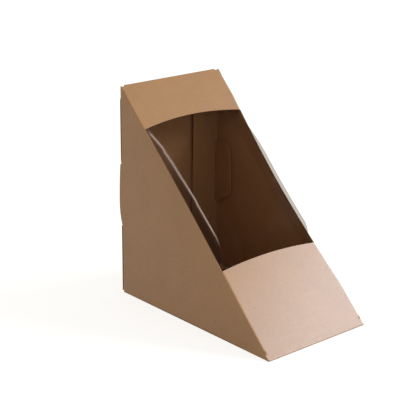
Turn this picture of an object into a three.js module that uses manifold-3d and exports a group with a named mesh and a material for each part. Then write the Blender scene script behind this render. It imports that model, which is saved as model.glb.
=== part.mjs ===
// Sandwich wedge pack: a carton folded from one sheet of kraft board, a clear film glued inside its window,
// and the closure flap at the back, which swings up from the top edge.
// Millimetres. +X runs across the pack, +Y to the back and +Z up. The origin is the middle of the
// footprint, on the surface that the pack stands on.

import * as THREE from "three";
import { mergeVertices } from "three/addons/utils/BufferGeometryUtils.js";
import Module from "manifold-3d";

const wasm = await Module();
wasm.setup();

// Overall size of the carton
const width = 72;
const depth = 123;
const height = 123;

// Sheet thicknesses, and the clearance between pieces that touch
const board = 0.4;
const film = 0.2;
const gap = 0.3;

// Window in the sloped front: each cut edge is an arc that rises towards the top
const windowTop = 29.6;
const windowTopRise = 3.6;
const windowBottom = 120;
const windowBottomRise = 2.2;

// Side walls: they bow inwards beside the window, and fold on a diagonal crease when the pack lies flat
const leftBow = 1;
const rightBow = 3.3;
const bowMiddle = 83;
const bowHalfSpan = 64;
const leftCreaseFoot = 9;
const rightCreaseFoot = 0;

// Glue flaps that hold the side walls to the base
const glueFlapWidth = 15;
const glueFlapFrontSetback = 20;
const glueFlapBackSetback = 18.5;
const glueFlapTaper = 8;

// Dust flaps, folded in behind the food and under the closure flap
const dustFlapWidth = 20.3;
const dustFlapTopSetback = 4;
const dustFlapBottomSetback = 3;
const dustFlapTaper = 9;
const dustFlapCorner = 4;

// Closure flap: its tongues go through slits beside the dust flaps, its tuck flap over the base
const flapSideSetback = 0.1;
const crestNotchWidth = 3;
const crestNotchDepth = 1.1;
const flapShoulder = 5;
const tuckLength = 16;
const tuckSideSetback = 2.2;
const tuckCorner = 6;

// Locking tongues, one each side
const tongueBottom = 40.7;
const tongueTop = 80.3;
const tongueLength = 14.8;
const tongueShoulder = 8.5;
const tongueHeel = 6.5;
const tongueNose = 2.5;
const tongueLean = 1.2;
const tongueRootSetback = 1.9;
const tongueWallGap = 0.5;
const slitEndGap = 0.6;

// Lock ears: beside each slit a cut edge of the crease stays flat with the side wall, behind the back
const earBottom = 41.5;
const earMiddle = 54;
const earTop = 78;
const earProud = 2.25;
const earNeck = 1.2;
const earHeel = 4.5;
const earFaceInset = 0.03;
const earEndGap = 0.5;

// Film: a pillow out of the window with rounded shoulders, which climbs slowly and falls steeply at its foot
const filmLap = 8;
const filmSideLap = 9;
const filmWallGap = 0.45;
const filmRise = 5;
const filmCrown = 0.7;
const filmShoulder = 2.6;
const filmTopRamp = 34;
const filmBottomRamp = 10;

// Steps along the curved surfaces
const wallStepsToCrease = 14;
const wallStepsToTop = 7;
const wallStepsToFoot = 9;
const wallStepsAcross = 5;
const stripSteps = 12;
const curveSteps = 10;
const filmRampSteps = 4;
const filmMiddleSteps = 7;
const filmCrownSteps = 4;
const filmShoulderSteps = 4;
const filmLapSteps = 3;

// Places that follow from the sizes
const halfWidth = width / 2;
const foldInset = board / 2;
const rearFace = gap + board;
const frontY = -(depth + Math.max(earProud, rearFace)) / 2;
const backY = frontY + depth;
const slopeLength = Math.hypot(depth, height);
const slopeAngle = Math.atan2(height, depth);
const panelY = backY + gap + foldInset;
const tongueX = halfWidth - board - tongueWallGap - foldInset;
const slitX = Math.min(tongueX - foldInset - gap, halfWidth - earProud);
const noseTop = tongueBottom + tongueHeel + 2 * tongueNose;
const foldLow = earBottom - earEndGap;
const foldHigh = earTop + earEndGap;
const filmFoot = windowBottom - windowBottomRise - gap;

// Directions of the sloped front: down along it, and square out of it
const down = new THREE.Vector3(0, -depth / slopeLength, -height / slopeLength);
const out = new THREE.Vector3(0, -height / slopeLength, depth / slopeLength);

const kraft = { color: 0xb79673, roughness: 0.85, metalness: 0 };
const clearFilm = { color: 0xe9e6e2, roughness: 0.08, metalness: 0, transparent: true, opacity: 0.25 };

// Helpers: solids, frames and sheets

// A closed solid from an indexed geometry, with its faces turned outwards
function closedSolid(geometry) {
  geometry.deleteAttribute("normal");
  geometry.deleteAttribute("uv");
  const merged = mergeVertices(geometry, 1e-4);
  const vertices = merged.attributes.position.array;
  const triangles = [];
  for (let i = 0; i < merged.index.count; i += 3) {
    const [a, b, c] = merged.index.array.slice(i, i + 3);
    if (a !== b && b !== c && c !== a) triangles.push(a, b, c);
  }
  if (signedVolume(vertices, triangles) < 0) triangles.reverse();
  const mesh = new wasm.Mesh({
    numProp: 3,
    vertProperties: new Float32Array(vertices),
    triVerts: new Uint32Array(triangles),
  });
  return new wasm.Manifold(mesh);
}

function signedVolume(vertices, triangles) {
  const corner = (i) => new THREE.Vector3().fromArray(vertices, 3 * triangles[i]);
  let volume = 0;
  for (let i = 0; i < triangles.length; i += 3) {
    volume += corner(i).dot(corner(i + 1).cross(corner(i + 2))) / 6;
  }
  return volume;
}

// A panel: an outline drawn on two axes from an origin, and given a thickness along their cross product
function panel(outline, thickness, origin, xAxis, yAxis) {
  const options = { depth: thickness, bevelEnabled: false, curveSegments: curveSteps };
  const geometry = new THREE.ExtrudeGeometry(outline, options);
  const normal = new THREE.Vector3().crossVectors(xAxis, yAxis);
  const frame = new THREE.Matrix4().makeBasis(xAxis, yAxis, normal).setPosition(origin);
  return closedSolid(geometry.applyMatrix4(frame));
}

// A sheet between two surfaces: pointOn(row, column, face) gives the outer one for face 0, the inner for 1
function sheet(rows, columns, pointOn) {
  const positions = [];
  for (const face of [0, 1]) {
    for (let row = 0; row <= rows; row += 1) {
      for (let column = 0; column <= columns; column += 1) {
        positions.push(...pointOn(row, column, face).toArray());
      }
    }
  }
  const at = (row, column, face) => (face * (rows + 1) + row) * (columns + 1) + column;
  const triangles = [];
  const quad = (a, b, c, d) => triangles.push(a, b, c, a, c, d);
  for (let row = 0; row < rows; row += 1) {
    for (let column = 0; column < columns; column += 1) {
      quad(at(row, column, 0), at(row + 1, column, 0), at(row + 1, column + 1, 0), at(row, column + 1, 0));
      quad(at(row, column, 1), at(row, column + 1, 1), at(row + 1, column + 1, 1), at(row + 1, column, 1));
    }
    quad(at(row, 0, 0), at(row, 0, 1), at(row + 1, 0, 1), at(row + 1, 0, 0));
    quad(at(row, columns, 0), at(row + 1, columns, 0), at(row + 1, columns, 1), at(row, columns, 1));
  }
  for (let column = 0; column < columns; column += 1) {
    quad(at(0, column, 0), at(0, column + 1, 0), at(0, column + 1, 1), at(0, column, 1));
    quad(at(rows, column, 0), at(rows, column, 1), at(rows, column + 1, 1), at(rows, column + 1, 0));
  }
  const geometry = new THREE.BufferGeometry();
  geometry.setAttribute("position", new THREE.Float32BufferAttribute(positions, 3));
  geometry.setIndex(triangles);
  return closedSolid(geometry);
}

// A point of the pack, from its x, its distance down the slope and its height out of the slope
function onSlope(x, along, proud) {
  return new THREE.Vector3(x, backY, height).addScaledVector(down, along).addScaledVector(out, proud);
}

// How far below the slope the bow of a side wall dies out: at the diagonal crease or at the back edge
function bowReach(creaseFoot, along) {
  const fromFront = slopeLength - along;
  const rise = Math.tan(slopeAngle / 2);
  const footHeight = creaseFoot * Math.sin(slopeAngle);
  const toCrease = footHeight + (fromFront - creaseFoot * Math.cos(slopeAngle)) * rise;
  const toBack = (along * depth) / height;
  return Math.min(toCrease, toBack);
}

// How far a side wall leans in, at a distance down the slope and a depth below it
function bowAt(side, along, below) {
  const phase = (along - bowMiddle) / bowHalfSpan;
  if (Math.abs(phase) >= 1) return 0;
  const bow = side < 0 ? leftBow : rightBow;
  const reach = bowReach(side < 0 ? leftCreaseFoot : rightCreaseFoot, along);
  const fade = Math.max(0, 1 - Math.max(0, below) / reach);
  return bow * Math.cos((phase * Math.PI) / 2) * fade ** 3;
}

// Carton

// A side wall as a sheet from its slope edge, over the diagonal crease, to the base and the back edge
function sideWall(side) {
  const foot = side < 0 ? leftCreaseFoot : rightCreaseFoot;
  const slopeInset = foldInset * (slopeLength / depth);
  const low = foldInset;
  const rear = backY - foldInset;
  const front = new THREE.Vector2(frontY + (foldInset + slopeInset) * (depth / height), low);
  const top = new THREE.Vector2(rear, height - slopeInset - foldInset * (height / depth));
  const heel = new THREE.Vector2(rear, low);
  const creaseFoot = new THREE.Vector2(Math.max(frontY + foot, front.x), low);
  const creaseRise = (rear - creaseFoot.x) * Math.tan(slopeAngle / 2);
  const creaseHead = new THREE.Vector2(rear, low + creaseRise);
  const squareFoot = creaseHead.clone().sub(front).dot(top.clone().sub(front).normalize());
  const creaseShare = squareFoot / front.distanceTo(top);
  const rows = wallStepsToCrease + wallStepsToTop;

  const pointOn = (row, column, face) => {
    const beforeHead = row <= wallStepsToCrease;
    const step = beforeHead ? row / wallStepsToCrease : (row - wallStepsToCrease) / wallStepsToTop;
    const share = beforeHead ? creaseShare * step : creaseShare + (1 - creaseShare) * step;
    const edge = front.clone().lerp(top, share);
    const fold = beforeHead ? creaseFoot.clone().lerp(creaseHead, step) : creaseHead.clone().lerp(top, step);
    const across = column / wallStepsAcross;
    const spot = column <= wallStepsAcross ? edge.lerp(fold, across ** 1.5) : farEdge(row, fold);
    const toTop = new THREE.Vector3(0, spot.x - backY, spot.y - height);
    const lean = bowAt(side, toTop.dot(down), -toTop.dot(out) - foldInset);
    return new THREE.Vector3(side * (halfWidth - face * board - lean), spot.x, spot.y);
  };

  const farEdge = (row, fold) => {
    if (row >= wallStepsToCrease) return fold;
    if (row <= wallStepsToFoot) return creaseFoot.clone().lerp(heel, row / wallStepsToFoot);
    return heel.clone().lerp(creaseHead, (row - wallStepsToFoot) / (wallStepsToCrease - wallStepsToFoot));
  };

  return sheet(rows, wallStepsAcross + 1, pointOn);
}

// Outline of a band across the slope, between a far and a near edge, with its sides drawn in by the bow
function slopeBand(from, to, drawFrom, drawTo) {
  const outline = new THREE.Shape();
  const sideX = (side, along) => side * (halfWidth - foldInset - bowAt(side, along, 0));
  outline.moveTo(sideX(-1, from), from);
  drawFrom(outline, sideX(1, from));
  for (let i = 1; i <= stripSteps; i += 1) {
    const along = from + ((to - from) * i) / stripSteps;
    outline.lineTo(sideX(1, along), along);
  }
  drawTo(outline, sideX(-1, to));
  for (let i = stripSteps - 1; i >= 0; i -= 1) {
    const along = from + ((to - from) * i) / stripSteps;
    outline.lineTo(sideX(-1, along), along);
  }
  return outline;
}

// The band above the window, notched at both ends of the crest where the closure flap folds
function upperStrip() {
  const notchX = halfWidth - crestNotchWidth;
  const crest = (board * height) / depth;
  const notched = crest + crestNotchDepth;
  const drawCrest = (outline, endX) => {
    outline.lineTo(-notchX, notched);
    outline.lineTo(-notchX, crest);
    outline.lineTo(notchX, crest);
    outline.lineTo(notchX, notched);
    outline.lineTo(endX, notched);
  };
  const drawArc = (outline, endX) => {
    outline.quadraticCurveTo(0, windowTop - 2 * windowTopRise, endX, windowTop);
  };
  const outline = slopeBand(notched, windowTop, drawCrest, drawArc);
  return panel(outline, board, onSlope(0, 0, 0), new THREE.Vector3(1, 0, 0), down);
}

// The band below the window, down to the front edge
function lowerStrip() {
  const foot = slopeLength - (board * depth) / height - foldInset;
  const drawArc = (outline, endX) => {
    outline.quadraticCurveTo(0, windowBottom - 2 * windowBottomRise, endX, windowBottom);
  };
  const drawFoot = (outline, endX) => {
    outline.lineTo(endX, foot);
  };
  const outline = slopeBand(windowBottom, foot, drawArc, drawFoot);
  return panel(outline, board, onSlope(0, 0, 0), new THREE.Vector3(1, 0, 0), down);
}

function rectangle(left, right, low, high) {
  const outline = new THREE.Shape();
  outline.moveTo(left, low);
  outline.lineTo(right, low);
  outline.lineTo(right, high);
  outline.lineTo(left, high);
  return outline;
}

function base() {
  const edge = halfWidth - foldInset;
  const outline = rectangle(-edge, edge, frontY, backY - foldInset);
  const origin = new THREE.Vector3(0, 0, 0);
  return panel(outline, board, origin, new THREE.Vector3(1, 0, 0), new THREE.Vector3(0, 1, 0));
}

// A flap of the side wall's bottom edge, glued down on the base
function glueFlap(side) {
  const crease = side * (halfWidth - foldInset);
  const free = side * (halfWidth - glueFlapWidth);
  const front = frontY + glueFlapFrontSetback;
  const rear = backY - glueFlapBackSetback;
  const outline = new THREE.Shape();
  outline.moveTo(crease, front);
  outline.lineTo(free, front + glueFlapTaper);
  outline.lineTo(free, rear - glueFlapTaper);
  outline.lineTo(crease, rear);
  const origin = new THREE.Vector3(0, 0, foldInset);
  const thickness = 2 * board - foldInset;
  return panel(outline, thickness, origin, new THREE.Vector3(1, 0, 0), new THREE.Vector3(0, 1, 0));
}

// A flap of the side wall's back edge, cut back at its crease where the tongue passes
function dustFlap(side) {
  const crease = halfWidth - foldInset;
  const free = halfWidth - dustFlapWidth;
  const low = dustFlapBottomSetback;
  const high = height - dustFlapTopSetback;
  const freeTop = high - dustFlapTaper;
  const slitLow = Math.min(tongueBottom, foldLow) - slitEndGap;
  const slitHigh = Math.max(tongueTop, foldHigh) + slitEndGap;
  const outline = new THREE.Shape();
  outline.moveTo(side * crease, low);
  outline.lineTo(side * crease, slitLow);
  outline.lineTo(side * slitX, slitLow);
  outline.lineTo(side * slitX, slitHigh);
  outline.lineTo(side * crease, slitHigh);
  outline.lineTo(side * crease, high);
  outline.lineTo(side * (free + dustFlapCorner), freeTop + dustFlapCorner / 2);
  outline.quadraticCurveTo(side * free, freeTop, side * free, freeTop - dustFlapCorner);
  outline.lineTo(side * free, low + dustFlapTaper);
  outline.quadraticCurveTo(side * free, low, side * (free + dustFlapTaper), low);
  const origin = new THREE.Vector3(0, backY, 0);
  return panel(outline, board, origin, new THREE.Vector3(1, 0, 0), new THREE.Vector3(0, 0, 1));
}

// The cut edge beside a slit, left in the plane of the side wall when the dust flap folds in. It is a
// little thinner than the wall, so that its root lies inside the wall.
function lockEar(side) {
  const root = backY - board;
  const thickness = board - 2 * earFaceInset;
  const outerX = side * (halfWidth - earFaceInset);
  const crest = backY + earProud;
  const neck = backY + earNeck;
  const outline = new THREE.Shape();
  outline.moveTo(root, earBottom);
  outline.lineTo(backY, earBottom);
  outline.quadraticCurveTo(backY + earProud * 0.9, earBottom + earHeel, crest, earMiddle);
  outline.quadraticCurveTo(crest, (earMiddle + earTop) / 2, neck, earTop - earNeck);
  outline.quadraticCurveTo(neck, earTop, backY, earTop);
  outline.lineTo(root, earTop);
  const origin = new THREE.Vector3(side < 0 ? outerX : outerX - thickness, 0, 0);
  return panel(outline, thickness, origin, new THREE.Vector3(0, 1, 0), new THREE.Vector3(0, 0, 1));
}

function carton() {
  const both = [-1, 1].map((side) => {
    return sideWall(side).add(lockEar(side)).add(glueFlap(side)).add(dustFlap(side));
  });
  return both[0].add(both[1]).add(base()).add(upperStrip()).add(lowerStrip());
}

// Closure flap

// A closed outline that is the same on both sides, from a path up its right side
function mirrored(path) {
  const right = path.getPoints(curveSteps);
  const left = right.map((point) => new THREE.Vector2(-point.x, point.y)).reverse();
  return new THREE.Shape([...right, ...left]);
}

// The panel over the back, from the crest down to the base, drawn in beside the ears, where the tongues fold
function rearPanel() {
  const edge = halfWidth - flapSideSetback;
  const crestEdge = halfWidth - crestNotchWidth;
  const foldEdge = tongueX + foldInset;
  const path = new THREE.Path();
  path.moveTo(edge, board + gap);
  path.lineTo(edge, foldLow);
  path.lineTo(foldEdge, foldLow);
  path.lineTo(foldEdge, foldHigh);
  path.lineTo(edge, foldHigh);
  path.lineTo(edge, height - 2 * flapShoulder);
  path.quadraticCurveTo(edge, height - flapShoulder, crestEdge, height - flapShoulder);
  path.lineTo(crestEdge, height);
  const origin = new THREE.Vector3(0, backY + rearFace, 0);
  return panel(mirrored(path), board, origin, new THREE.Vector3(1, 0, 0), new THREE.Vector3(0, 0, 1));
}

// The flap folded in over the base, raised at its tip by what its swing about the crest needs
function tuckFlap() {
  const edge = halfWidth - flapSideSetback - tuckSideSetback;
  const rise = tuckLength ** 2 / (2 * height) + gap;
  const angle = Math.asin(rise / tuckLength);
  const path = new THREE.Path();
  path.moveTo(edge, 0);
  path.lineTo(edge, tuckLength - tuckCorner);
  path.quadraticCurveTo(edge, tuckLength, edge - tuckCorner, tuckLength);
  const origin = new THREE.Vector3(0, panelY, 2 * board + gap);
  const forward = new THREE.Vector3(0, -Math.cos(angle), Math.sin(angle));
  return panel(mirrored(path), board, origin, new THREE.Vector3(1, 0, 0), forward);
}

// A locking tongue: it folds forward from the panel, and widens behind the slit against the side wall
function tongue(side) {
  const rootY = backY - tongueRootSetback;
  const tipY = backY - tongueLength;
  const upperY = tipY + tongueLean;
  const outline = new THREE.Shape();
  outline.moveTo(panelY, foldLow);
  outline.lineTo(rootY, tongueBottom);
  outline.lineTo(tipY + tongueNose, tongueBottom + tongueHeel);
  outline.quadraticCurveTo(tipY, tongueBottom + tongueHeel + tongueNose / 2, tipY, noseTop);
  outline.lineTo(upperY, tongueTop - tongueShoulder);
  outline.quadraticCurveTo(upperY, tongueTop, upperY + tongueShoulder, tongueTop);
  outline.lineTo(rootY, tongueTop);
  outline.lineTo(panelY, foldHigh);
  const origin = new THREE.Vector3(side * tongueX - foldInset, 0, 0);
  return panel(outline, board, origin, new THREE.Vector3(0, 1, 0), new THREE.Vector3(0, 0, 1));
}

function rearFlap() {
  return rearPanel().add(tuckFlap()).add(tongue(-1)).add(tongue(1));
}

// Window film

// Distances down the slope at which the film's section is set out
function filmStations() {
  const rampEnd = windowTop + filmTopRamp;
  const fallStart = filmFoot - filmBottomRamp;
  const stations = [windowTop - windowTopRise - filmLap];
  for (let i = 0; i <= filmRampSteps; i += 1) {
    stations.push(windowTop + (filmTopRamp * i) / filmRampSteps);
  }
  for (let i = 1; i < filmMiddleSteps; i += 1) {
    stations.push(rampEnd + ((fallStart - rampEnd) * i) / filmMiddleSteps);
  }
  for (let i = 0; i <= filmRampSteps; i += 1) {
    stations.push(fallStart + (filmBottomRamp * i) / filmRampSteps);
  }
  stations.push(windowBottom + filmLap);
  return stations;
}

// How far the film stands out of the slope: behind the board at both ends, a pillow between them
function filmProud(along) {
  const fromTop = (along - windowTop) / filmTopRamp;
  const fromBottom = (filmFoot - along) / filmBottomRamp;
  const share = Math.max(0, Math.min(1, fromTop, fromBottom));
  return (filmRise + board + gap) * Math.sin((share * Math.PI) / 2) - board - gap;
}

// How far below the slope a point of a lap lies: straight down to the wall's edge, then along its inner face
function lapBelow(lapTop, lapStep) {
  if (lapStep === 0) return lapTop;
  const lapStart = Math.max(0, lapTop);
  return lapStart + ((filmSideLap - lapStart) * (lapStep - 1)) / (filmLapSteps - 1);
}

// A clear sheet with a crowned middle, two rounded shoulders and two laps that follow the side walls
function windowFilm() {
  const stations = filmStations();
  const halfColumns = filmCrownSteps + filmShoulderSteps + filmLapSteps;
  const pointOn = (row, column, face) => {
    const along = stations[row];
    const side = column < halfColumns ? -1 : 1;
    const step = Math.abs(column - halfColumns);
    const shoulderStep = Math.min(Math.max(step - filmCrownSteps, 0), filmShoulderSteps);
    const turn = (shoulderStep / filmShoulderSteps) * (Math.PI / 2);
    const top = filmProud(along);
    const lapTop = filmShoulder - top;
    const below = lapBelow(lapTop, Math.max(0, step - filmCrownSteps - filmShoulderSteps));
    const edge = halfWidth - board - filmWallGap - bowAt(side, along, Math.max(0, below));
    const crownShare = Math.min(1, step / filmCrownSteps);
    const crown = filmCrown * (1 - crownShare ** 2) * ((top + board + gap) / (filmRise + board + gap));
    const middle = edge - filmShoulder;
    const thickness = face * film;
    const x = middle * crownShare + (filmShoulder - thickness) * Math.sin(turn);
    const shoulderDrop = filmShoulder - (filmShoulder - thickness) * Math.cos(turn);
    const lapDrop = below - lapTop;
    return onSlope(side * x, along, top + crown - shoulderDrop - lapDrop);
  };
  return sheet(stations.length - 1, 2 * halfColumns, pointOn);
}

// The pack as named meshes

function mesh(name, solid, look) {
  const { vertProperties, triVerts } = solid.getMesh();
  const geometry = new THREE.BufferGeometry();
  geometry.setAttribute("position", new THREE.BufferAttribute(vertProperties, 3));
  geometry.setIndex(new THREE.BufferAttribute(triVerts, 1));
  const faceted = geometry.toNonIndexed();
  faceted.computeVertexNormals();
  const piece = new THREE.Mesh(faceted, new THREE.MeshStandardMaterial(look));
  piece.name = name;
  return piece;
}

const pack = new THREE.Group();
pack.add(mesh("carton", carton(), kraft));
pack.add(mesh("rear_flap", rearFlap(), kraft));
pack.add(mesh("window_film", windowFilm(), clearFilm));

export default pack;
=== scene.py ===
"""Sandwich wedge pack: the folded kraft carton, its closure flap and its clear film, dressed over the CAD frame.

Sizes are in millimetres in the code and in metres in the scene. The slope of the pack has its own directions:
s runs down it from the crest, t goes square below it, and proud stands out of it.
"""

import math

import bmesh
import bpy
from mathutils import Matrix, Vector


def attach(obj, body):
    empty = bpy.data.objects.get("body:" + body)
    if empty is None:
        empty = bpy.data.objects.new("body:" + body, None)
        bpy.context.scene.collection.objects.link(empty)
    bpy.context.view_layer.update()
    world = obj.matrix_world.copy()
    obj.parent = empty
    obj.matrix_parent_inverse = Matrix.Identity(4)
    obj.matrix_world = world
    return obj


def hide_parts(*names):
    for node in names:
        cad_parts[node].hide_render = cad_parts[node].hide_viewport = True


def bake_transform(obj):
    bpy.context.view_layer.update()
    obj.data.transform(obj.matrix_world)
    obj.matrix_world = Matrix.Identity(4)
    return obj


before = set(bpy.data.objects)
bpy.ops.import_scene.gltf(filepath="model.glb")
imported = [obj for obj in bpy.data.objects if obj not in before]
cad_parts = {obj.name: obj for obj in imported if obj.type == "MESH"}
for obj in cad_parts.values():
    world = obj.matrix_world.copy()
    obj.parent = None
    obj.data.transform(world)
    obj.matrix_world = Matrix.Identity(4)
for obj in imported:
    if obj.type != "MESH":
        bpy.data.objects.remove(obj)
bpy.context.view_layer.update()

MM = 0.001

# Sizes of the pack, the same as the solids'
HALF_WIDTH = 36.0
HEIGHT = 123.0
FRONT_Y = -62.625
BACK_Y = 60.375
BOARD = 0.4
GAP = 0.3
SLOPE = math.hypot(HEIGHT, BACK_Y - FRONT_Y)
DIAGONAL = math.sqrt(0.5)

WINDOW_TOP, WINDOW_TOP_RISE = 29.6, 3.6
WINDOW_BOTTOM, WINDOW_BOTTOM_RISE = 120.0, 2.2
BOW = {-1: 1.0, 1: 3.3}
BOW_MIDDLE, BOW_HALF_SPAN = 83.0, 64.0
CREASE_FOOT = {-1: 9.0, 1: 0.0}

NOTCH_X, NOTCH_S = 33.0, 0.9
CREST_START = 0.46
ROLL_CENTRE, ROLL_RADIUS = (BACK_Y + 0.1, 122.25), 0.6

WALL_FOOT = 0.45
WALL_SLOPE_END = SLOPE - WALL_FOOT / DIAGONAL
WALL_CORNER_CUT = 1.0
STRIP_WELD_END = SLOPE - 1.7
GLUE_FLAP_X, GLUE_FLAP_TAPER = 21.0, 8.0
GLUE_FLAP_FRONT, GLUE_FLAP_BACK = FRONT_Y + 20.0, BACK_Y - 18.5
DUST_FLAP_X = 15.7
DUST_FLAP_LOW, DUST_FLAP_HIGH = 3.0, 119.0
DUST_FLAP_SPRING, DUST_FLAP_SPRING_FROM = 1.3, 30.5
SLIT_LOW, SLIT_HIGH, SLIT_X = 40.1, 80.9, 33.75
EAR_LOW, EAR_MIDDLE, EAR_HIGH = 41.5, 54.0, 78.0
EAR_PROUD, EAR_NECK, EAR_HEEL = 2.25, 1.2, 4.5

PANEL_Y = BACK_Y + GAP + BOARD
PANEL_X, PANEL_EAR_X = 35.9, 35.1
EAR_CLEARANCE = 0.5
PANEL_TOP, PANEL_SHOULDER = 121.85, 118.0
PANEL_FOOT = 0.7
TONGUE_X = 35.1
TONGUE_LOW, TONGUE_HIGH, TONGUE_TIP = 40.7, 80.3, BACK_Y - 14.8
TONGUE_SPRING, TONGUE_SPRING_FROM, TONGUE_ROOT_REACH = 0.85, 2.5, 1.9
TONGUE_ROOT = [EAR_LOW - EAR_CLEARANCE, 43, 45, 46.4, 47.5, 48.8, 50.4, 52.2, 58, 64, 70, 71.8, 73.5, 75, 76.4, 77.5,
               EAR_HIGH + EAR_CLEARANCE]
STEP_RUN = 0.01
TUCK_LENGTH, TUCK_X = 16.0, 33.7

FILM_LAP, FILM_SIDE_LAP = 8.0, 9.0
FILM_RISE, FILM_CROWN, FILM_SHOULDER = 5.0, 0.7, 2.6
FILM_TOP_RAMP, FILM_BOTTOM_RAMP = 34.0, 10.0
FILM_WALL_GAP = 0.45
FILM_FOOT = WINDOW_BOTTOM - WINDOW_BOTTOM_RISE - GAP

# The film's clear tint, then the grey of painted shade on its standing sides.
FILM_CLEAR, FILM_SIDE_SHADE = (0.93, 0.925, 0.92), (0.52, 0.48, 0.44)
FILM_GLOSS, FILM_LOW_GLOSS = 0.0005, 0.15
# Painted highlight on the film: a pale line of haze along its left shoulder, its points given as (distance down the
# slope, x).
FILM_HIGHLIGHT = [(30.0, -33.6), (44.0, -32.8), (47.0, -33.3), (62.0, -33.1), (79.0, -32.0), (82.0, -32.2),
               (103.0, -31.7), (108.0, -32.3)]
FILM_HIGHLIGHT_FROM, FILM_HIGHLIGHT_REACH, FILM_HIGHLIGHT_HALF = -36.0, 6.0, 1.0
# Strength of the painted highlight, then strength of a painted reflection in streaks beside the shoulder.
FILM_HIGHLIGHT_PAINT, FILM_REFLECTION_PAINT = 0.5, 0.09

SIDE_FOLD, FRONT_FOLD = 0.5, 0.7
FOLD_BAND, FOLD_LEAST_DEPTH = 0.85, 4.5
WALL_COLUMNS = 26


def on_slope(x, s, t):
    """A point of the pack from its x, its distance down the slope and its depth square below the slope."""
    return (x, BACK_Y + (t - s) * DIAGONAL, HEIGHT - (s + t) * DIAGONAL)


def bow_reach(side, s):
    """How far below the slope the bow of a side wall dies out."""
    from_front = SLOPE - s
    foot = CREASE_FOOT[side]
    to_crease = foot * DIAGONAL + (from_front - foot * DIAGONAL) * math.tan(math.pi / 8)
    return min(to_crease, s)


def bow_at(side, s, t):
    """How far a side wall leans in."""
    phase = (s - BOW_MIDDLE) / BOW_HALF_SPAN
    if abs(phase) >= 1:
        return 0.0
    fade = max(0.0, 1 - max(0.0, t) / bow_reach(side, s))
    return BOW[side] * math.cos(phase * math.pi / 2) * fade**3


def quadratic(a, b, c, steps):
    """Points along a quadratic curve."""
    points = []
    for i in range(steps + 1):
        u = i / steps
        points.append(tuple((1 - u) ** 2 * p + 2 * u * (1 - u) * q + u * u * r for p, q, r in zip(a, b, c)))
    return points


def between(points, value):
    """The second number of a polyline where its first number, which rises, has the given value."""
    for (x0, y0), (x1, y1) in zip(points, points[1:]):
        if x0 <= value <= x1:
            return y0 + (y1 - y0) * (value - x0) / max(x1 - x0, 1e-9)
    return points[0][1] if value < points[0][0] else points[-1][1]


class Skin:
    """A sheet of board by its outer faces: patches that share vertices, with fold lines to be rounded."""

    def __init__(self):
        self.mesh = bmesh.new()
        self.known = {}
        self.fold = self.mesh.edges.layers.float.new("bevel_weight_edge")

    def vertex(self, point, sheet=0):
        key = (sheet, *(round(c, 3) for c in point))
        if key not in self.known:
            self.known[key] = self.mesh.verts.new([c * MM for c in point])
        return self.known[key]

    def patch(self, rows, flip=False, sheet=0):
        """Faces over a grid of points; rows that meet in one point give triangles."""
        grid = [[self.vertex(point, sheet) for point in row] for row in rows]
        for upper, lower in zip(grid, grid[1:]):
            for i in range(len(upper) - 1):
                ring = [upper[i], lower[i], lower[i + 1], upper[i + 1]]
                corners = list(dict.fromkeys(ring))
                if len(corners) < 3:
                    continue
                if flip:
                    corners.reverse()
                if self.mesh.faces.get(corners) is None:
                    self.mesh.faces.new(corners)

    def crease(self, points, width, sheet=0):
        """Marks a line of edges as a fold, rounded over this width on each side."""
        line = [self.vertex(point, sheet) for point in points]
        for a, b in zip(line, line[1:]):
            edge = self.mesh.edges.get((a, b)) if a is not b else None
            if edge is not None:
                edge[self.fold] = width / FRONT_FOLD

    def piece(self, name, materials):
        """The finished object: folds rounded, board thickness added inwards, smooth shading with sharp cuts."""
        data = bpy.data.meshes.new(name)
        self.mesh.to_mesh(data)
        self.mesh.free()
        data.polygons.foreach_set("use_smooth", [True] * len(data.polygons))
        obj = bpy.data.objects.new(name, data)
        bpy.context.scene.collection.objects.link(obj)
        for material in materials:
            data.materials.append(material)
        bevel = obj.modifiers.new("folds", "BEVEL")
        bevel.limit_method = "WEIGHT"
        bevel.width = FRONT_FOLD * MM
        bevel.segments = 4
        bevel.use_clamp_overlap = True
        solid = obj.modifiers.new("board", "SOLIDIFY")
        solid.thickness = BOARD * MM
        solid.offset = -1
        solid.use_even_offset = True
        solid.material_offset = 1
        solid.material_offset_rim = 2
        split = obj.modifiers.new("cuts", "EDGE_SPLIT")
        split.split_angle = math.radians(40)
        return obj


def wall_stations():
    """Distances down the slope at which both side walls and both strips are set out."""
    fixed = [0.5, NOTCH_S, WINDOW_TOP, WINDOW_TOP + 0.4, WINDOW_BOTTOM - 0.4, WINDOW_BOTTOM,
             STRIP_WELD_END, WALL_SLOPE_END]
    heights = [DUST_FLAP_LOW, SLIT_LOW, EAR_LOW, EAR_LOW + 1.2, EAR_MIDDLE, SLIT_HIGH, DUST_FLAP_HIGH]
    heights += [EAR_HIGH, EAR_HIGH - 0.15, EAR_HIGH - 0.5, EAR_HIGH - EAR_NECK, EAR_HIGH - 3]
    fixed += [(HEIGHT - z) * DIAGONAL for z in heights]
    corner = WALL_SLOPE_END / 2
    fixed += [corner, corner - WALL_CORNER_CUT, corner + WALL_CORNER_CUT]
    fixed += [base_station(GLUE_FLAP_BACK), base_station(GLUE_FLAP_FRONT)]
    stations = sorted(fixed)
    step = 2.5
    count = int(WALL_SLOPE_END / step)
    for i in range(1, count):
        s = i * step
        if min(abs(s - other) for other in stations) > 0.6:
            stations.append(s)
    return sorted(stations)


def base_station(y):
    """The station whose ruling meets the wall's foot at this y."""
    return (WALL_SLOPE_END - (y - BACK_Y) / DIAGONAL) / 2


def wall_depth(s):
    """How far a side wall reaches below the slope at a station, with its lower back corner cut off."""
    corner = WALL_SLOPE_END / 2
    depth = min(s, WALL_SLOPE_END - s)
    return depth - WALL_CORNER_CUT if abs(s - corner) < 1e-6 else depth


def wall_point(side, s, t):
    return on_slope(side * (HALF_WIDTH - bow_at(side, s, t)), s, t)


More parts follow.
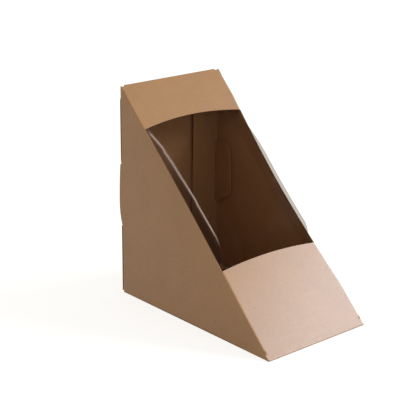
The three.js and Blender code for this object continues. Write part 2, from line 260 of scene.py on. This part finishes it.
def wall_row(side, s):
    depth = wall_depth(s)
    band = min(FOLD_BAND, depth / 5)
    steps = WALL_COLUMNS - 2
    inner = [band + (depth - 2 * band) * (i / steps) ** 1.3 for i in range(steps + 1)]
    return [wall_point(side, s, t) for t in (0, *inner, depth)]


def add_wall(skin, side):
    rows = [wall_row(side, s) for s in STATIONS]
    skin.patch(rows, flip=side < 0)


def ear_profile():
    """How proud of the back the lock ear stands, against height."""
    lower = quadratic((EAR_LOW, 0), (EAR_LOW + EAR_HEEL, EAR_PROUD * 0.9), (EAR_MIDDLE, EAR_PROUD), 12)
    upper = quadratic((EAR_MIDDLE, EAR_PROUD), ((EAR_MIDDLE + EAR_HIGH) / 2, EAR_PROUD),
                      (EAR_HIGH - EAR_NECK, EAR_NECK), 12)
    top = quadratic((EAR_HIGH - EAR_NECK, EAR_NECK), (EAR_HIGH, EAR_NECK), (EAR_HIGH, 0), 8)
    return lower + upper[1:] + top[1:]


def add_ear(skin, side):
    """The cut edge beside the slit, flat with the wall."""
    profile = ear_profile()
    rows = []
    for s in STATIONS:
        z = HEIGHT - s / DIAGONAL
        if not EAR_LOW - 1e-6 <= z <= EAR_HIGH + 1e-6 or s > WALL_SLOPE_END / 2:
            continue
        proud = between(profile, z)
        x, y, _ = wall_point(side, s, s)
        rows.append([(x, y + proud * share, z) for share in (0, 0.5, 1)])
    skin.patch(rows, flip=side < 0)


def dust_flap_range(x):
    """Lowest and highest point of a dust flap at a distance from the middle of the pack."""
    high = 112 + (x - 19.7) * 7 / 16.3
    if x < 19.7:
        high = between(quadratic((DUST_FLAP_X, 106), (DUST_FLAP_X, 110), (19.7, 112), 10), x)
    low = between(quadratic((DUST_FLAP_X, 12), (DUST_FLAP_X, DUST_FLAP_LOW), (24.7, DUST_FLAP_LOW), 10), x)
    return (low if x < 24.7 else DUST_FLAP_LOW), high


def dust_flap_spring(x, z):
    """How far a dust flap stands forward of the closure panel, most at its free edge, a little uneven."""
    share = max(0.0, (DUST_FLAP_SPRING_FROM - x) / (DUST_FLAP_SPRING_FROM - DUST_FLAP_X))
    return DUST_FLAP_SPRING * share**1.5 * (1 + 0.35 * math.sin(z / 13 + 1.2))


def add_dust_flap(skin, side):
    columns = [HALF_WIDTH, SLIT_X, 30.5, 27.5, 24.7, 22.5, 20.8, 19.7, 18.3, 17.2, 16.4, 15.9, DUST_FLAP_X]
    low, high = dust_flap_range(HALF_WIDTH)
    rows = []
    for s in STATIONS:
        z = HEIGHT - s / DIAGONAL
        if low - 1e-6 <= z <= DUST_FLAP_HIGH + 1e-6 and s < WALL_SLOPE_END / 2:
            share = (z - low) / (DUST_FLAP_HIGH - low)
            ends = [dust_flap_range(x) for x in columns]
            heights = [z] + [a + (b - a) * share for a, b in ends[1:]]
            row = [(side * x, BACK_Y - dust_flap_spring(x, h), h) for x, h in zip(columns, heights)]
            rows.append((z, row))
    for (z0, upper), (z1, lower) in zip(rows, rows[1:]):
        slit = SLIT_LOW - 1e-6 <= min(z0, z1) and max(z0, z1) <= SLIT_HIGH + 1e-6
        start = 1 if slit else 0
        skin.patch([upper[start:], lower[start:]], flip=side < 0)
        if not slit and max(z0, z1) <= HEIGHT - FOLD_LEAST_DEPTH / DIAGONAL:
            skin.crease([upper[0], lower[0]], SIDE_FOLD)


def add_glue_flap(skin, side):
    columns = [HALF_WIDTH, 33.0, 29.0, 25.0, GLUE_FLAP_X]
    rows = []
    for s in STATIONS:
        if s < WALL_SLOPE_END / 2:
            continue
        _, y, z = wall_point(side, s, wall_depth(s))
        if GLUE_FLAP_FRONT - 1e-6 <= y <= GLUE_FLAP_BACK + 1e-6:
            share = (y - GLUE_FLAP_FRONT) / (GLUE_FLAP_BACK - GLUE_FLAP_FRONT)
            row = []
            for x in columns:
                taper = GLUE_FLAP_TAPER * (HALF_WIDTH - x) / (HALF_WIDTH - GLUE_FLAP_X)
                start, end = GLUE_FLAP_FRONT + taper, GLUE_FLAP_BACK - taper
                row.append((side * x, y if x == HALF_WIDTH else start + (end - start) * share, z))
            rows.append(row)
    skin.patch(rows, flip=side < 0)
    skin.crease([row[0] for row in rows], SIDE_FOLD)


def strip_columns():
    """Shares of the half width across the strips, the notches' edge among them."""
    notch = NOTCH_X / HALF_WIDTH
    return [-1, -0.96, -notch, -0.8, -0.65, -0.5, -0.33, -0.16, 0, 0.16, 0.33, 0.5, 0.65, 0.8, notch, 0.96, 1]


def strip_side(side, s):
    return HALF_WIDTH - bow_at(side, s, 0)


def strip_point(share, s, side_s, drop=0.0):
    """A point of a strip, whose width at the side's station is drawn in by the bow."""
    side = -1 if share < 0 else 1
    return on_slope(share * strip_side(side, side_s), s, drop)


def add_upper_strip(skin):
    shares = strip_columns()
    stations = [s for s in STATIONS if NOTCH_S - 1e-6 <= s <= WINDOW_TOP + 1e-6]
    rows = []
    for s in stations:
        run = (s - NOTCH_S) / (WINDOW_TOP - NOTCH_S)
        row = []
        for share in shares:
            rise = WINDOW_TOP_RISE * (1 - share * share)
            row.append(strip_point(share, s - rise * run, s))
        rows.append(row)
    skin.patch(rows)
    for side in (-1, 1):
        edge = [row[0 if side < 0 else -1] for s, row in zip(stations, rows) if s >= FOLD_LEAST_DEPTH]
        skin.crease(edge, SIDE_FOLD)


def crest_fold(materials):
    """The rolled fold between the upper strip and the closure panel, as a piece of its own."""
    crest = [share for share in strip_columns() if abs(share) <= NOTCH_X / HALF_WIDTH + 1e-6]
    first = [strip_point(share, NOTCH_S, NOTCH_S) for share in crest]
    roll = [first, [strip_point(share, CREST_START, CREST_START) for share in crest]]
    turns = 8
    for i in range(1, turns + 1):
        angle = math.radians(135 * (1 - i / turns))
        y = ROLL_CENTRE[0] + ROLL_RADIUS * math.cos(angle)
        z = ROLL_CENTRE[1] + ROLL_RADIUS * math.sin(angle)
        roll.append([(point[0], y, z) for point in first])
    roll.append([(point[0], PANEL_Y, PANEL_TOP) for point in first])
    skin = Skin()
    skin.patch(roll, flip=True)
    fold = skin.piece("crest_fold", materials)
    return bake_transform(fold)


def add_lower_strip_and_base(skin):
    shares = strip_columns()
    stations = [s for s in STATIONS if WINDOW_BOTTOM - 1e-6 <= s <= STRIP_WELD_END + 1e-6] + [SLOPE]
    rows = []
    for s in stations:
        run = 1 - (s - WINDOW_BOTTOM) / (SLOPE - WINDOW_BOTTOM)
        row = []
        for share in shares:
            rise = WINDOW_BOTTOM_RISE * (1 - share * share)
            row.append(strip_point(share, s - rise * run, s))
        rows.append(row)
    skin.patch(rows)
    for side in (-1, 1):
        edge = [row[0 if side < 0 else -1] for s, row in zip(stations, rows) if s <= SLOPE - FOLD_LEAST_DEPTH]
        skin.crease(edge, SIDE_FOLD)
    front = rows[-1]
    deep = [front]
    for y in (-61.2, -55, -45, -30, -15, 0, 15, 30, 45, 56, BACK_Y - 0.2):
        deep.append([(x / HALF_WIDTH * 35.8, y, 0.0) for x, _, _ in front])
    skin.patch(deep)
    skin.crease(front, FRONT_FOLD)


def carton(materials):
    skin = Skin()
    for side in (-1, 1):
        add_wall(skin, side)
        add_ear(skin, side)
        add_dust_flap(skin, side)
        add_glue_flap(skin, side)
    add_upper_strip(skin)
    add_lower_strip_and_base(skin)
    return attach(skin.piece("carton_board", materials), "pack")


def panel_half_width(z):
    """Half width of the closure panel: round shoulders at the top, drawn in beside the ears and the tongues."""
    if z <= PANEL_SHOULDER and z >= 113:
        return between(quadratic((113, PANEL_X), (PANEL_SHOULDER, PANEL_X), (PANEL_SHOULDER + 0.01, NOTCH_X), 12), z)
    if z > PANEL_SHOULDER:
        return NOTCH_X
    if TONGUE_ROOT[0] - 1e-6 <= z <= TONGUE_ROOT[-1] + 1e-6:
        return PANEL_EAR_X
    return PANEL_X


def tongue_outline(z):
    """How far forward a tongue reaches at a height."""
    tip = BACK_Y - TONGUE_TIP
    low = [(TONGUE_LOW, 1.9), (TONGUE_LOW + 6.5, tip - 2.5)]
    low += quadratic((TONGUE_LOW + 6.5, tip - 2.5), (TONGUE_LOW + 7.75, tip), (TONGUE_LOW + 11.5, tip), 8)[1:]
    high = quadratic((TONGUE_HIGH - 8.5, tip - 1.2), (TONGUE_HIGH, tip - 1.2), (TONGUE_HIGH + 0.01, tip - 9.7), 12)
    return between(low + high, z)


def add_panel(skin):
    heights = [PANEL_FOOT, 4, 10, 20, 30, TONGUE_ROOT[0] - STEP_RUN, *TONGUE_ROOT, TONGUE_ROOT[-1] + STEP_RUN,
               88, 98, 107, 113, 115, 116.5, 117.4, PANEL_SHOULDER, 118.2, 120, PANEL_TOP]
    shares = [-1, -0.9, -0.7, -0.4, 0, 0.4, 0.7, 0.9, 1]
    rows = [[(share * panel_half_width(z), PANEL_Y, z) for share in shares] for z in heights]
    skin.patch(rows)
    foot = rows[0]
    tuck = [foot]
    rise = TUCK_LENGTH**2 / (2 * HEIGHT) + GAP
    for share in (0.12, 0.4, 0.62, 0.75, 0.86, 0.94, 1):
        reach = TUCK_LENGTH * share
        over = max(0.0, reach - (TUCK_LENGTH - 6)) / 6
        half = TUCK_X - 6 * (1 - math.sqrt(max(0.0, 1 - over * over)))
        tuck.append([(half * x / PANEL_X, PANEL_Y - reach, PANEL_FOOT + rise * share) for x, _, _ in foot])
    skin.patch(tuck, flip=True)
    skin.crease(foot, SIDE_FOLD)


def tongue_root(z):
    """How far forward a tongue starts at a height: at the panel, or behind the slit where it widens."""
    root = BACK_Y - PANEL_Y
    above = (z - TONGUE_ROOT[-1]) / (TONGUE_HIGH - TONGUE_ROOT[-1])
    return root + (TONGUE_ROOT_REACH - root) * max(0.0, above)


def add_tongue(skin, side):
    """The tongue folds forward from the panel's side edge, through the slit beside the dust flap, and widens."""
    shares = (0, 0.15, 0.3, 0.45, 0.6, 0.75, 0.9, 1)
    rows = []
    for z in [*TONGUE_ROOT, 79, 79.5, 80, TONGUE_HIGH]:
        start, tip = tongue_root(z), tongue_outline(z)
        row = []
        for share in shares:
            reach = start + (tip - start) * share
            lean = TONGUE_SPRING * max(0.0, reach - TONGUE_SPRING_FROM) / (BACK_Y - TONGUE_TIP)
            row.append((side * (TONGUE_X - lean), BACK_Y - reach, z))
        rows.append(row)
    skin.patch(rows, flip=side < 0)
    skin.crease([(side * TONGUE_X, PANEL_Y, z) for z in TONGUE_ROOT[1:-1]], SIDE_FOLD)


def rear_flap(materials):
    skin = Skin()
    add_panel(skin)
    for side in (-1, 1):
        add_tongue(skin, side)
    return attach(skin.piece("closure_board", materials), "closure")


def film_proud(s):
    """How far the film stands out of the slope: behind the board at both ends, a pillow between them."""
    share = max(0.0, min(1.0, (s - WINDOW_TOP) / FILM_TOP_RAMP, (FILM_FOOT - s) / FILM_BOTTOM_RAMP))
    return (FILM_RISE + BOARD + GAP) * math.sin(share * math.pi / 2) - BOARD - GAP


def film_half(side, s):
    """Points of half the film, from its lap up the wall over a round shoulder to the crowned middle."""
    top = film_proud(s)
    lap_top = FILM_SHOULDER - top
    lap_start = max(0.0, lap_top)
    crown = FILM_CROWN * (top + BOARD + GAP) / (FILM_RISE + BOARD + GAP)
    laps = [lap_start + (FILM_SIDE_LAP - lap_start) * step / 4 for step in range(4, -1, -1)]
    section = [(1, 1, below) for below in laps]
    section += [(1, step / 10, lap_top) for step in range(10, 0, -1)]
    section += [(step / 12, 0, lap_top) for step in range(12, -1, -1)]
    points = []
    for across, turned, below in section:
        angle = turned * math.pi / 2
        edge = HALF_WIDTH - BOARD - FILM_WALL_GAP - bow_at(side, s, max(0.0, below))
        x = (edge - FILM_SHOULDER) * across + FILM_SHOULDER * math.sin(angle)
        drop = FILM_SHOULDER * (1 - math.cos(angle)) + below - lap_top
        points.append(on_slope(side * x, s, -(top + crown * (1 - across**2) - drop)))
    return points


def film_row(s):
    return film_half(-1, s) + film_half(1, s)[::-1][1:]


def window_film(material):
    start, end = WINDOW_TOP - WINDOW_TOP_RISE - FILM_LAP, WINDOW_BOTTOM + FILM_LAP
    count = 80
    stations = [start + (end - start) * i / count for i in range(count + 1)]
    skin = Skin()
    skin.patch([film_row(s) for s in stations])
    data = bpy.data.meshes.new("film_sheet")
    skin.mesh.to_mesh(data)
    skin.mesh.free()
    data.polygons.foreach_set("use_smooth", [True] * len(data.polygons))
    data.materials.append(material)
    obj = bpy.data.objects.new("film_sheet", data)
    bpy.context.scene.collection.objects.link(obj)
    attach(obj, "pack")
    return obj


# Materials


class Nodes:
    """A short way to write a node tree."""

    def __init__(self, name):
        self.material = bpy.data.materials.new(name)
        self.material.use_nodes = True
        self.tree = self.material.node_tree
        self.tree.nodes.clear()
        self.out = self.node("ShaderNodeOutputMaterial")
        self.where = self.node("ShaderNodeTexCoord").outputs["Object"]

    def node(self, kind, **settings):
        made = self.tree.nodes.new(kind)
        for key, value in settings.items():
            setattr(made, key, value)
        return made

    def link(self, source, target):
        self.tree.links.new(source, target)

    def noise(self, scale, detail=4.0, stretch=(1, 1, 1), roughness=0.55):
        mapping = self.node("ShaderNodeMapping")
        mapping.inputs["Scale"].default_value = stretch
        self.link(self.where, mapping.inputs["Vector"])
        texture = self.node("ShaderNodeTexNoise")
        texture.inputs["Scale"].default_value = scale
        texture.inputs["Detail"].default_value = detail
        texture.inputs["Roughness"].default_value = roughness
        self.link(mapping.outputs["Vector"], texture.inputs["Vector"])
        return texture.outputs["Fac"]

    def ramp(self, source, low, high, start=0.0, end=1.0):
        made = self.node("ShaderNodeMapRange")
        for name, value in (("From Min", low), ("From Max", high), ("To Min", start), ("To Max", end)):
            made.inputs[name].default_value = value
        self.link(source, made.inputs["Value"])
        return made.outputs["Result"]

    def math(self, operation, a, b):
        made = self.node("ShaderNodeMath", operation=operation)
        for slot, value in zip(made.inputs, (a, b)):
            if isinstance(value, (int, float)):
                slot.default_value = value
            else:
                self.link(value, slot)
        return made.outputs["Value"]

    def mix(self, share, a, b):
        made = self.node("ShaderNodeMix", data_type="RGBA")
        for name, value in (("Factor", share), ("A", a), ("B", b)):
            slot = [s for s in made.inputs if s.name == name and s.enabled][0]
            if isinstance(value, tuple):
                slot.default_value = (*value, 1)
            elif isinstance(value, (int, float)):
                slot.default_value = value
            else:
                self.link(value, slot)
        return [s for s in made.outputs if s.enabled][0]


def kraft(name, color, rough, grain):
    """Unbleached board: cloudy pulp, long fibres, dark and pale flecks and a fine tooth."""
    n = Nodes(name)
    dark = tuple(c * 0.94 for c in color)
    light = tuple(min(1, c * 1.05) for c in color)
    clouds = n.ramp(n.noise(55, 5), 0.3, 0.7)
    base = n.mix(clouds, dark, light)
    fibres = n.ramp(n.noise(1100, 3, (1, 0.16, 0.16)), 0.42, 0.62)
    base = n.mix(n.math("MULTIPLY", fibres, 0.22), base, light)
    cross = n.ramp(n.noise(1300, 3, (0.16, 1, 0.16)), 0.45, 0.65)
    base = n.mix(n.math("MULTIPLY", cross, 0.14), base, dark)
    flecks = n.ramp(n.noise(820, 2, (1, 1, 0.55), 0.4), 0.69, 0.76)
    fleck_color = tuple(c * 0.5 for c in color)
    base = n.mix(n.math("MULTIPLY", flecks, 0.5), base, fleck_color)
    shader = n.node("ShaderNodeBsdfPrincipled")
    n.link(base, shader.inputs["Base Color"])
    n.link(n.ramp(n.noise(400, 3), 0.3, 0.7, rough - 0.015, rough + 0.015), shader.inputs["Roughness"])
    shader.inputs["Specular IOR Level"].default_value = 0.4
    bump = n.node("ShaderNodeBump")
    bump.inputs["Strength"].default_value = grain
    bump.inputs["Distance"].default_value = 0.00012
    n.link(n.noise(2600, 4, (1, 0.4, 0.4)), bump.inputs["Height"])
    n.link(bump.outputs["Normal"], shader.inputs["Normal"])
    n.link(shader.outputs["BSDF"], n.out.inputs["Surface"])
    return n.material


def painted_highlight(n, across, along):
    """A painted highlight along the film's left shoulder: how strongly it shows at a point, from 0 to 1."""
    curve = n.node("ShaderNodeFloatCurve")
    points = curve.mapping.curves[0].points
    span = FILM_HIGHLIGHT[-1][0] - FILM_HIGHLIGHT[0][0]
    for i, (s, x) in enumerate(FILM_HIGHLIGHT):
        place = ((s - FILM_HIGHLIGHT[0][0]) / span, (x - FILM_HIGHLIGHT_FROM) / FILM_HIGHLIGHT_REACH)
        if i in (0, len(FILM_HIGHLIGHT) - 1):
            points[-1 if i else 0].location = place
        else:
            points.new(*place)
    for point in points:
        point.handle_type = "VECTOR"
    curve.mapping.update()
    n.link(n.ramp(along, FILM_HIGHLIGHT[0][0], FILM_HIGHLIGHT[-1][0]), curve.inputs["Value"])
    line = n.ramp(curve.outputs["Value"], 0, 1, FILM_HIGHLIGHT_FROM, FILM_HIGHLIGHT_FROM + FILM_HIGHLIGHT_REACH)
    off = n.math("ABSOLUTE", n.math("SUBTRACT", across, line), 0)
    near = n.math("POWER", n.ramp(off, FILM_HIGHLIGHT_HALF, 0.2 * FILM_HIGHLIGHT_HALF), 2.0)
    starts = n.ramp(along, FILM_HIGHLIGHT[0][0], FILM_HIGHLIGHT[0][0] + 4)
    ends = n.ramp(along, FILM_HIGHLIGHT[-1][0], FILM_HIGHLIGHT[-1][0] - 10)
    return n.math("MULTIPLY", near, n.math("MULTIPLY", starts, ends))


def clear_film():
    """Thin clear film: open seen square on and glossier at a low angle, with painted shade greying its standing
    sides, a painted highlight on its left shoulder and a painted reflection beside it.
    """
    n = Nodes("clear_film")
    split = n.node("ShaderNodeSeparateXYZ")
    n.link(n.where, split.inputs["Vector"])
    across = n.math("MULTIPLY", split.outputs["X"], 1 / MM)
    down = n.math("ADD", n.math("MULTIPLY", split.outputs["Y"], -DIAGONAL / MM), BACK_Y * DIAGONAL)
    below = n.math("ADD", n.math("MULTIPLY", split.outputs["Z"], -DIAGONAL / MM), HEIGHT * DIAGONAL)
    along = n.math("ADD", down, below)
    facing = n.node("ShaderNodeLayerWeight")
    facing.inputs["Blend"].default_value = 0.5
    low_angle = n.math("POWER", facing.outputs["Facing"], 6.0)
    open_part = n.node("ShaderNodeBsdfTransparent")
    # Painted shade: the raised film turns grey where its normal swings across, on its standing sides.
    bend = n.node("ShaderNodeSeparateXYZ")
    n.link(n.node("ShaderNodeNewGeometry").outputs["Normal"], bend.inputs["Vector"])
    side_shade = n.ramp(n.math("ABSOLUTE", bend.outputs["X"], 0), 0.25, 0.8)
    raised = n.ramp(n.math("SUBTRACT", below, down), 0.6, -0.6)
    n.link(n.mix(n.math("MULTIPLY", side_shade, raised), FILM_CLEAR, FILM_SIDE_SHADE), open_part.inputs["Color"])
    gloss = n.node("ShaderNodeBsdfGlossy")
    gloss.inputs["Roughness"].default_value = 0.06
    # A pale warm diffuse layer: faint haze over the whole film, and the paint of its painted highlight and painted
    # reflection.
    haze_and_highlight = n.node("ShaderNodeBsdfDiffuse")
    haze_and_highlight.inputs["Color"].default_value = (0.95, 0.72, 0.66, 1)
    wave = n.node("ShaderNodeBump")
    wave.inputs["Strength"].default_value = 0.2
    wave.inputs["Distance"].default_value = 0.0004
    n.link(n.noise(22, 2, (2.2, 0.4, 0.4)), wave.inputs["Height"])
    n.link(wave.outputs["Normal"], gloss.inputs["Normal"])
    # Faint streaky haze over the whole film, a painted reflection in streaks beside the left shoulder that is
    # stronger up the slope, and the painted highlight line.
    streaks = n.ramp(n.noise(90, 4, (3.0, 0.2, 0.2)), 0.42, 0.75, 0.0, 1.0)
    shoulder_reflection = n.math("MULTIPLY", n.ramp(across, -31.5, -33.5), n.ramp(along, 95.0, 35.0, 0.2, 1.0))
    streaked_reflection = n.math("MULTIPLY", shoulder_reflection, n.ramp(streaks, 0.0, 1.0, 0.6, 1.4))
    haze_and_highlight_share = n.math("ADD", n.math("MULTIPLY", streaks, 0.008), n.math("MULTIPLY", streaked_reflection, FILM_REFLECTION_PAINT))
    haze_and_highlight_share = n.math("ADD", haze_and_highlight_share, n.math("MULTIPLY", painted_highlight(n, across, along), FILM_HIGHLIGHT_PAINT))
    hazed_and_highlighted = n.node("ShaderNodeMixShader")
    n.link(haze_and_highlight_share, hazed_and_highlighted.inputs["Fac"])
    n.link(open_part.outputs["BSDF"], hazed_and_highlighted.inputs[1])
    n.link(haze_and_highlight.outputs["BSDF"], hazed_and_highlighted.inputs[2])
    shown = n.node("ShaderNodeMixShader")
    n.link(n.ramp(low_angle, 0.0, 1.0, FILM_GLOSS, FILM_LOW_GLOSS), shown.inputs["Fac"])
    n.link(hazed_and_highlighted.outputs["Shader"], shown.inputs[1])
    n.link(gloss.outputs["BSDF"], shown.inputs[2])
    n.link(shown.outputs["Shader"], n.out.inputs["Surface"])
    return n.material


# Studio


def lamp(name, direction, distance, size, power, color=(1, 1, 1)):
    """An area lamp in a direction from the middle of the pack, aimed at it."""
    data = bpy.data.lights.new(name, "AREA")
    data.shape = "RECTANGLE"
    data.size, data.size_y = size
    data.energy = power
    data.color = color
    obj = bpy.data.objects.new(name, data)
    bpy.context.scene.collection.objects.link(obj)
    centre = Vector((0, 0, 0.05))
    way = Vector(direction).normalized()
    obj.location = centre + way * distance
    obj.rotation_mode = "QUATERNION"
    obj.rotation_quaternion = (-way).to_track_quat("-Z", "Y")
    return obj


def studio():
    world = bpy.data.worlds.new("studio")
    world.use_nodes = True
    tree = world.node_tree
    tree.nodes.clear()
    out = tree.nodes.new("ShaderNodeOutputWorld")
    seen = tree.nodes.new("ShaderNodeBackground")
    seen.inputs["Strength"].default_value = 1.0
    lit = tree.nodes.new("ShaderNodeBackground")
    lit.inputs["Strength"].default_value = 0.5
    path = tree.nodes.new("ShaderNodeLightPath")
    seen_rays = path.outputs["Is Camera Ray"]
    for ray in ("Is Glossy Ray", "Is Transmission Ray"):
        either = tree.nodes.new("ShaderNodeMath")
        either.operation = "MAXIMUM"
        tree.links.new(seen_rays, either.inputs[0])
        tree.links.new(path.outputs[ray], either.inputs[1])
        seen_rays = either.outputs["Value"]
    seen.inputs["Color"].default_value = (1, 1, 1, 1)
    lit.inputs["Color"].default_value = (1, 0.965, 0.87, 1)
    mix = tree.nodes.new("ShaderNodeMixShader")
    tree.links.new(seen_rays, mix.inputs["Fac"])
    tree.links.new(lit.outputs["Background"], mix.inputs[1])
    tree.links.new(seen.outputs["Background"], mix.inputs[2])
    tree.links.new(mix.outputs["Shader"], out.inputs["Surface"])
    bpy.context.scene.world = world

    mesh = bpy.data.meshes.new("floor")
    reach = 4.0
    corners = [(-reach, -reach, 0), (reach, -reach, 0), (reach, reach, 0), (-reach, reach, 0)]
    mesh.from_pydata(corners, [], [(0, 1, 2, 3)])
    floor = bpy.data.objects.new("floor", mesh)
    floor.location.z = -0.00005
    bpy.context.scene.collection.objects.link(floor)
    n = Nodes("floor_white")
    paper = n.node("ShaderNodeBsdfDiffuse")
    paper.inputs["Color"].default_value = (0.5, 0.5, 0.5, 1)
    glow = n.node("ShaderNodeEmission")
    glow.inputs["Color"].default_value = (1, 1, 1, 1)
    path = n.node("ShaderNodeLightPath")
    seen_rays = n.math("MAXIMUM", path.outputs["Is Camera Ray"], path.outputs["Is Glossy Ray"])
    seen_rays = n.math("MAXIMUM", seen_rays, path.outputs["Is Transmission Ray"])
    n.link(n.math("MULTIPLY", seen_rays, 0.75), glow.inputs["Strength"])
    add = n.node("ShaderNodeAddShader")
    n.link(paper.outputs["BSDF"], add.inputs[0])
    n.link(glow.outputs["Emission"], add.inputs[1])
    n.link(add.outputs["Shader"], n.out.inputs["Surface"])
    mesh.materials.append(n.material)

    lamp("top_box", (0.03, -0.45, 0.89), 1.4, (0.9, 0.5), 0.4)
    lamp("right_box", (0.68, -0.40, 0.53), 1.5, (0.8, 0.35), 10.5, (0.94, 1, 1.12))


def camera():
    data = bpy.data.cameras.new("camera")
    data.sensor_fit = "HORIZONTAL"
    data.sensor_width = 36.0
    data.lens = 107.98
    data.shift_x, data.shift_y = -0.0005, 0.0006
    data.clip_start, data.clip_end = 0.01, 50
    obj = bpy.data.objects.new("camera", data)
    bpy.context.scene.collection.objects.link(obj)
    right = Vector((0.7536, -0.65729, 0.00762))
    up = Vector((0.20149, 0.24202, 0.94912))
    back = Vector((-0.62569, -0.71372, 0.31482))
    axes = Matrix((right, up, back)).transposed()
    obj.matrix_world = Matrix.Translation((-0.441644, -0.475837, 0.279064)) @ axes.to_4x4()
    bpy.context.scene.camera = obj


STATIONS = wall_stations()

KRAFT = (0.50, 0.262, 0.108)
outer = kraft("kraft_outer", KRAFT, 0.27, 0.1)
# Inner faces: rougher board, their darker colour partly the unglazed back of the board and partly painted shade for
# the closed inside.
inner = kraft("kraft_inner_shaded", (0.34, 0.165, 0.065), 0.7, 0.45)
# Cut edges: a shade darker than the faces, partly the raw edge's own tone and partly painted shade that keeps lit
# edges from showing as bright lines.
edge = kraft("kraft_cut_edge_shaded", tuple(c * 0.9 for c in KRAFT), 0.75, 0.7)
board = carton([outer, inner, edge])
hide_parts("carton")
flap = rear_flap([outer, inner, edge])
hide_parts("rear_flap")
fold = crest_fold([outer, inner, edge])
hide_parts("carton", "rear_flap")
film = window_film(clear_film())
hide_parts("window_film")
studio()
camera()
bpy.context.scene.view_settings.view_transform = "Standard"
